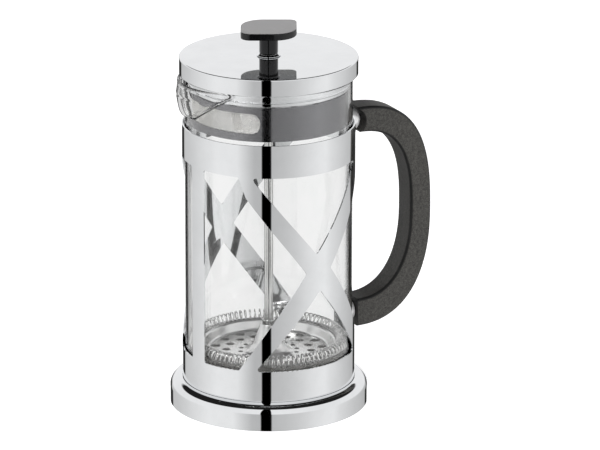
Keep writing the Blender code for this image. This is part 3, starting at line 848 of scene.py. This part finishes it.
def make_knob():
    """A square plate, two of its opposite corners generously rounded, on a round stem."""
    _, stem_low, top = extent("knob")
    half, turn, wide, tight, steps = 16.0, radians(-26.0), 13.0, 3.5, 16
    square = [(-half, -half), (half, -half), (half, half), (-half, half)]
    plate = softened(square, [tight + 2, wide, tight, wide], steps, flank=0)
    plate = [(x * cos(turn) - y * sin(turn), x * sin(turn) + y * cos(turn)) for x, y in plate]
    stem, bore, bore_top, under = 5.4, 3.8, 219.6, top - 4.0
    fillet, lower_edge, upper_edge = 1.5, 0.6, 0.8  # radii of the plate's roundings

    def circle(radius, height):
        count = len(plate)
        first = turn - 3 * pi / 4 - pi * steps / count
        turns = [first + 2 * pi * index / count for index in range(count)]
        return [(radius * cos(angle), radius * sin(angle), height) for angle in turns]

    def inset(amount, height):
        return [(x * (1 - amount / half), y * (1 - amount / half), height) for x, y in plate]

    rings = [circle(bore, bore_top), circle(bore, stem_low + 0.3), circle(bore + 0.3, stem_low)]
    rings += [circle(stem - 0.3, stem_low), circle(stem - 0.09, stem_low + 0.09)]
    rings += [circle(stem, stem_low + 0.3), circle(stem, under - 1.6)]
    for step in range(7):
        swing = radians(90 * step / 6)
        rings.append(circle(stem + fillet * (1 - cos(swing)), under - fillet * (1 - sin(swing))))
    rings += [circle(stem + 1.6, under), inset(0.62, under)]
    for step in range(6):
        swing = radians(90 * step / 5)
        rings.append(inset(lower_edge * (1 - sin(swing)), under + lower_edge * (1 - cos(swing))))
    rings += [inset(0, under + 0.62), inset(0, top - 0.82)]
    for step in range(7):
        swing = radians(90 * step / 6)
        rings.append(inset(upper_edge * (1 - cos(swing)), top - upper_edge * (1 - sin(swing))))
    rings += [inset(0.85, top), inset(3, top)]
    knob = lofted("press_knob", rings, KNOB)
    # The flat top faces take the satin finish with its painted sheen.
    knob.data.materials.append(KNOB_TOP_PAINTED_SHEEN)
    for face in knob.data.polygons:
        if face.normal.z > 0.9 and face.center.z > (top - 0.9) * MM:
            face.material_index = 1
    outer, (_, low, high) = 3.5, extent("knob_insert")
    outline = softened([(ROD_BORE, low), (outer, low), (outer, high), (ROD_BORE, high)], 0.2)
    return knob, turned("threaded_insert", outline, BRASS, SMALL_ROUND)


def make_filter():
    """The stack at the rod's foot, from the hub collar down to the nut."""
    radius, _, high = extent("spiral_plate")
    wall, floor = 0.7, 30.0
    upper = [(2.8, high), (4.6, high), (6.4, 42.0), (9.2, 34.4), (13.2, floor), (35.8, floor + 0.3)]
    upper += [(37.6, 35.4), (radius, 36.4)]
    lower = [(radius, 35.7), (38.1, 35.1), (36.3, floor - 0.3), (12.8, floor - wall), (8.5, 34.1)]
    lower += [(5.6, 41.6), (3.9, 46.0), (2.8, 46.0)]
    radii = [0.2, 1.0, 3.0, 8.0, 5.0, 2.0, 1.2, 0.3, 0.3, 1.0, 2.0, 5.0, 8.0, 3.0, 1.0, 0.2]
    blank = turned("dish_blank", softened(upper + lower, radii, 5), DISH_STEEL, 128)
    rings = ((16.5, 1.5, 0.25), (24.75, 2.5, 0.75), (32.0, 2.9, 0.25))
    dish = pierced_dish("pierced_dish", blank.data, rings, 32.0, 16, DISH_STEEL)
    bpy.data.objects.remove(blank)
    dish.data.set_sharp_from_angle(angle=radians(35))

    spring_radius, low, high = extent("coil_spring")
    wire, wider, lower, turns, steps = 0.45, 0.6, 0.2, 92, 14
    coil, middle = (high - low) / 2 - wire + wider, (high + low) / 2 - lower
    ring = spring_radius - coil - wire
    spring = coiled_ring("edge_spring", ring, coil, wire, middle, turns, steps, SPRING_WIRE)

    radius, low, high = extent("filter_mesh")
    inset, slope, pitch, wire = 0.25, (35.0, 37.8), 1.1, 0.14
    floor, lift = low + inset, high - low - 2 * inset
    cloth = woven_dish("filter_cloth", radius - 0.1, floor, lift, slope, pitch, wire, WOVEN_WIRE)

    radius, low, high = extent("cross_plate")
    hub, rim_inner, arm_half_width, arms = 10.0, 37.0, 3.5, 6
    holes = [arc((0, 0), 2.8, 0, 360, 32)[:-1]]
    for arm in range(arms):
        opening = []
        for reach, backwards, steps in ((rim_inner, False, 24), (hub, True, 8)):
            clear = degrees(asin(arm_half_width / reach))
            run = arc((0, 0), reach, 60 * arm + clear, 60 * (arm + 1) - clear, steps)
            opening += run[::-1] if backwards else run
        holes.append(opening)
    sheet = flat_sheet("cross_sheet", arc((0, 0), radius, 0, 360, ROUND)[:-1], holes)
    sheet.transform(Matrix.Translation(metres((0, 0, high))))
    cross = new_piece("cross_arms", sheet, PLATE_STEEL)
    wall = cross.modifiers.new("Wall", "SOLIDIFY")
    wall.thickness, wall.offset = (high - low) * MM, -1
    baked(cross)
    cross.data.set_sharp_from_angle(angle=radians(40))

    radius, low, high = extent("hub_collar")
    outline = [(ROD_BORE, low), (radius, low), (radius, high), (ROD_BORE, high)]
    collar = turned("hub_ring", softened(outline, [0.1, 0.3, 0.6, 0.2]), PLATE_STEEL, SMALL_ROUND)
    radius, low, high = extent("hub_nut")
    outline = [(ROD_BORE, low), (radius, low), (radius, high), (ROD_BORE, high)]
    nut = turned("foot_nut", softened(outline, [0.2, 1.0, 0.3, 0.2]), PLATE_STEEL, SMALL_ROUND)
    return dish, spring, cloth, cross, collar, nut


# The studio


def light_the_studio():
    """A pale tent: a narrow dark gap behind the viewer, two dark edges beyond and a dark roof opening."""
    world = bpy.data.worlds.new("tent")
    world.use_nodes = True
    bpy.context.scene.world = world
    tree = Tree(world.node_tree)
    parts = tree.node("ShaderNodeSeparateXYZ", None, {0: tree.node("ShaderNodeTexCoord", out="Generated")})
    azimuth = tree.math("ARCTAN2", parts.output("Y"), parts.output("X"))
    turn = ((azimuth - radians(VIEW_AZIMUTH)) / (2 * pi) + 0.5).worked("FRACT")
    height = parts.output("Z")
    # Degrees to the side of the viewer, and how bright the wall is there.
    shades = [(-180, 0.88), (-170, 0.88), (-166, 0.02), (-153, 0.02), (-149, 0.62), (-127, 0.7)]
    shades += [(-98, 0.85), (-72, 0.97), (-42, 0.95), (-28, 0.72), (-19, 0.57), (-9.8, 0.55)]
    shades += [(-9.2, 0.0), (2.8, 0.0)]
    shades += [(3.4, 0.58), (18, 0.62), (34, 0.7), (54, 0.86), (71, 0.95), (81, 0.97), (92, 0.86)]
    shades += [(119, 0.68), (142, 0.56), (152, 0.52), (156, 0.02), (166, 0.02), (170, 0.88), (180, 0.88)]
    stops = [(0.5 + side / 360, shade) for side, shade in shades]
    wall = tree.node("ShaderNodeValToRGB", {"stops": stops}, {"Fac": turn})
    # The gap between those two shades of nought, in turns, goes on up to the roof.
    gap = turn.rise(0.4728, 0.4745) * (1 - turn.rise(0.5078, 0.5094))
    tent = tree.mixed(gap, (0.95, 0.95, 0.955), (0.0, 0.0, 0.0))
    around = tree.mixed(height.rise(-0.12, 0.06), wall, tent)
    lean, away = radians(72), radians(VIEW_AZIMUTH) + pi
    middle = (cos(lean) * cos(away), cos(lean) * sin(away), sin(lean))
    near = parts.output("X") * middle[0] + parts.output("Y") * middle[1] + height * middle[2]
    roof = near.rise(cos(radians(47.5)), cos(radians(45)))
    shown = tree.mixed(roof, around, (0.015, 0.015, 0.015))
    # Seen straight through the glass, the tent has no gap.
    path = tree.node("ShaderNodeLightPath", out="Is Transmission Ray")
    through = path * path.output("Glossy Depth").worked("LESS_THAN", 0.5)
    shown = tree.mixed(through * gap, shown, (0.88, 0.88, 0.88))
    backdrop = world.node_tree.nodes["Background"]
    world.node_tree.links.new(shown.socket, backdrop.inputs["Color"])
    backdrop.inputs["Strength"].default_value = 1.0


def add_light(name, place, aim, size, power):
    lamp = bpy.data.lights.new(name, "AREA")
    lamp.shape, lamp.size, lamp.energy = "DISK", size, power
    holder = placed(name, lamp)
    holder.location = place
    holder.rotation_euler = (Vector(place) - Vector(aim)).to_track_quat("Z", "Y").to_euler()
    holder.visible_glossy = False


def lay_the_floor():
    finish = Finish("pale_floor", Roughness=0.6)
    cloud = finish.grain(300, 2.0)
    finish.vary("Base Color", finish.mixed(cloud, (0.86, 0.86, 0.86), (0.88, 0.88, 0.88)))
    finish.shader.inputs["Emission Color"].default_value = (1, 1, 1, 1)
    finish.shader.inputs["Emission Strength"].default_value = 0.7
    mesh = bpy.data.meshes.new("floor")
    reach, low = 12.0, cad_box[0].z - 0.1 * MM
    corners = [(x * reach, y * reach, low) for x, y in ((-1, -1), (1, -1), (1, 1), (-1, 1))]
    mesh.from_pydata(corners, [], [(0, 1, 2, 3)])
    mesh.materials.append(finish.material)
    floor = placed("floor", mesh)
    floor.visible_glossy = floor.visible_transmission = False


def set_the_camera():
    lens = bpy.data.cameras.new("viewer")
    lens.lens, lens.sensor_width = 319.8, 36.0
    lens.shift_x, lens.shift_y = 0.0522, -0.1429
    lens.clip_start, lens.clip_end = 0.05, 60
    camera = placed("viewer", lens)
    distance, height = 2.9297, 1.0490
    azimuth = radians(VIEW_AZIMUTH)
    camera.location = (distance * cos(azimuth), distance * sin(azimuth), height)
    camera.rotation_euler = (radians(73.08), 0, azimuth + pi / 2)
    bpy.context.scene.camera = camera


# Putting it together


def seat(piece, body, slot, *nodes):
    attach(piece, body)
    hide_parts(*nodes)


def dress(node, material):
    """Gives a CAD node that stays its finish."""
    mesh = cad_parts[node].data
    mesh.materials.clear()
    mesh.materials.append(material)


def main():
    shell, plate, glass_seat = make_base()
    seat(shell, "frame", "chrome", "base_shell")
    seat(plate, "frame", "base_plastic", "base_plate")
    seat(glass_seat, "frame", "silicone", "beaker_seat")
    seat(make_sleeve(), "frame", "chrome", "sleeve")
    seat(make_handle(), "frame", "grip_plastic", "handle")
    boss, spacer = make_handle_fixings()
    seat(boss, "frame", "chrome", "handle_upper_boss")
    seat(spacer, "frame", "chrome", "handle_lower_spacer")
    for which in ("upper", "lower"):
        dress(f"handle_{which}_stud", PLATE_STEEL)
    seat(make_beaker(), "beaker", "glass", "beaker")
    cover, plug = make_lid()
    seat(cover, "lid", "chrome", "lid_cover")
    seat(plug, "lid", "chrome", "lid_plug")
    collar, cloth = make_strainer()
    seat(collar, "lid", "dark_steel", "strainer_collar")
    seat(cloth, "lid", "woven_steel", "strainer_mesh")
    bush, nut = make_guide()
    seat(bush, "guide", "chrome", "guide_bush")
    seat(nut, "guide", "steel", "guide_nut")
    seat(make_rod(), "plunger", "steel", "plunger_rod")
    knob, insert = make_knob()
    seat(knob, "plunger", "knob_plastic", "knob")
    seat(insert, "plunger", "brass", "knob_insert")
    dish, spring, filter_cloth, cross, ring, foot = make_filter()
    seat(dish, "plunger", "steel", "spiral_plate")
    seat(spring, "plunger", "steel", "coil_spring")
    seat(filter_cloth, "plunger", "woven_steel", "filter_mesh")
    seat(cross, "plunger", "steel", "cross_plate")
    seat(ring, "plunger", "steel", "hub_collar")
    seat(foot, "plunger", "steel", "hub_nut")
    light_the_studio()
    add_light("key", (-1.2, -0.6, 2.2), (0, 0, 0.1), 1.6, 26)
    lay_the_floor()
    set_the_camera()
    bpy.context.scene.view_settings.view_transform = "Standard"


main()
